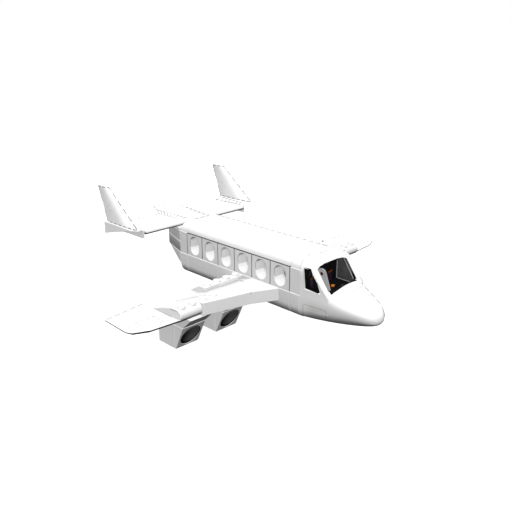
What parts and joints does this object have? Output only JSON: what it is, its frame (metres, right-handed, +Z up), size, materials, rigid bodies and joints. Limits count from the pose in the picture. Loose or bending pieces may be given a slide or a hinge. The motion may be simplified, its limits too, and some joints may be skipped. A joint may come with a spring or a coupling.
{
  "type": "toy airliner",
  "caption": "White toy airliner of studded plastic bricks with a drooped nose, open windscreen, twin tail fins and box-shaped engine pods under straight wings.",
  "frame": {"origin": "centre of the bounding box at the level of the pods' undersides, on which the toy stands", "axes": "+X forward to the nose, +Y to port, +Z up"},
  "size_m": [0.2025, 0.228, 0.079],
  "materials": {
    "white_plastic": "glossy moulded white plastic",
    "black_plastic": "glossy black plastic",
    "grey_plastic": "light grey plastic",
    "smoke_glass": "smoky transparent plastic"
  },
  "bodies": {
    "root": {"cockpit_arm": "grey_plastic", "cockpit_console": "black_plastic", "column_front_port": "white_plastic", "column_front_starboard": "white_plastic", "column_rear_port": "white_plastic", "column_rear_starboard": "white_plastic", "fin_base_port": "white_plastic", "fin_base_starboard": "white_plastic", "fin_port": "white_plastic", "fin_starboard": "white_plastic", "hull_lower_1": "white_plastic", "hull_lower_2": "white_plastic", "hull_lower_3": "white_plastic", "hull_lower_4": "white_plastic", "nose": "white_plastic", "pod_inner_port_box": "white_plastic", "pod_inner_port_intake": "white_plastic", "pod_inner_port_top": "white_plastic", "pod_inner_starboard_box": "white_plastic", "pod_inner_starboard_intake": "white_plastic", "pod_inner_starboard_top": "white_plastic", "pod_outer_port_box": "white_plastic", "pod_outer_port_intake": "white_plastic", "pod_outer_port_top": "white_plastic", "pod_outer_starboard_box": "white_plastic", "pod_outer_starboard_intake": "white_plastic", "pod_outer_starboard_top": "white_plastic", "roof_1": "white_plastic", "roof_2": "white_plastic", "roof_3": "white_plastic", "roof_4": "white_plastic", "side_pane_port": "smoke_glass", "side_pane_starboard": "smoke_glass", "stabiliser_port": "white_plastic", "stabiliser_starboard": "white_plastic", "tail_block": "white_plastic", "tail_lower": "white_plastic", "tail_plate": "white_plastic", "tail_upper": "white_plastic", "tail_wedge": "white_plastic", "window_panel_port_1": "white_plastic", "window_panel_port_2": "white_plastic", "window_panel_port_3": "white_plastic", "window_panel_port_4": "white_plastic", "window_panel_port_5": "white_plastic", "window_panel_port_6": "white_plastic", "window_panel_starboard_1": "white_plastic", "window_panel_starboard_2": "white_plastic", "window_panel_starboard_3": "white_plastic", "window_panel_starboard_4": "white_plastic", "window_panel_starboard_5": "white_plastic", "window_panel_starboard_6": "white_plastic", "wing_edge_port": "white_plastic", "wing_edge_starboard": "white_plastic", "wing_main_port": "white_plastic", "wing_main_starboard": "white_plastic", "wing_root_block_port": "white_plastic", "wing_root_block_starboard": "white_plastic", "wing_tip_port": "white_plastic", "wing_tip_starboard": "white_plastic"}
  },
  "joints": []
}
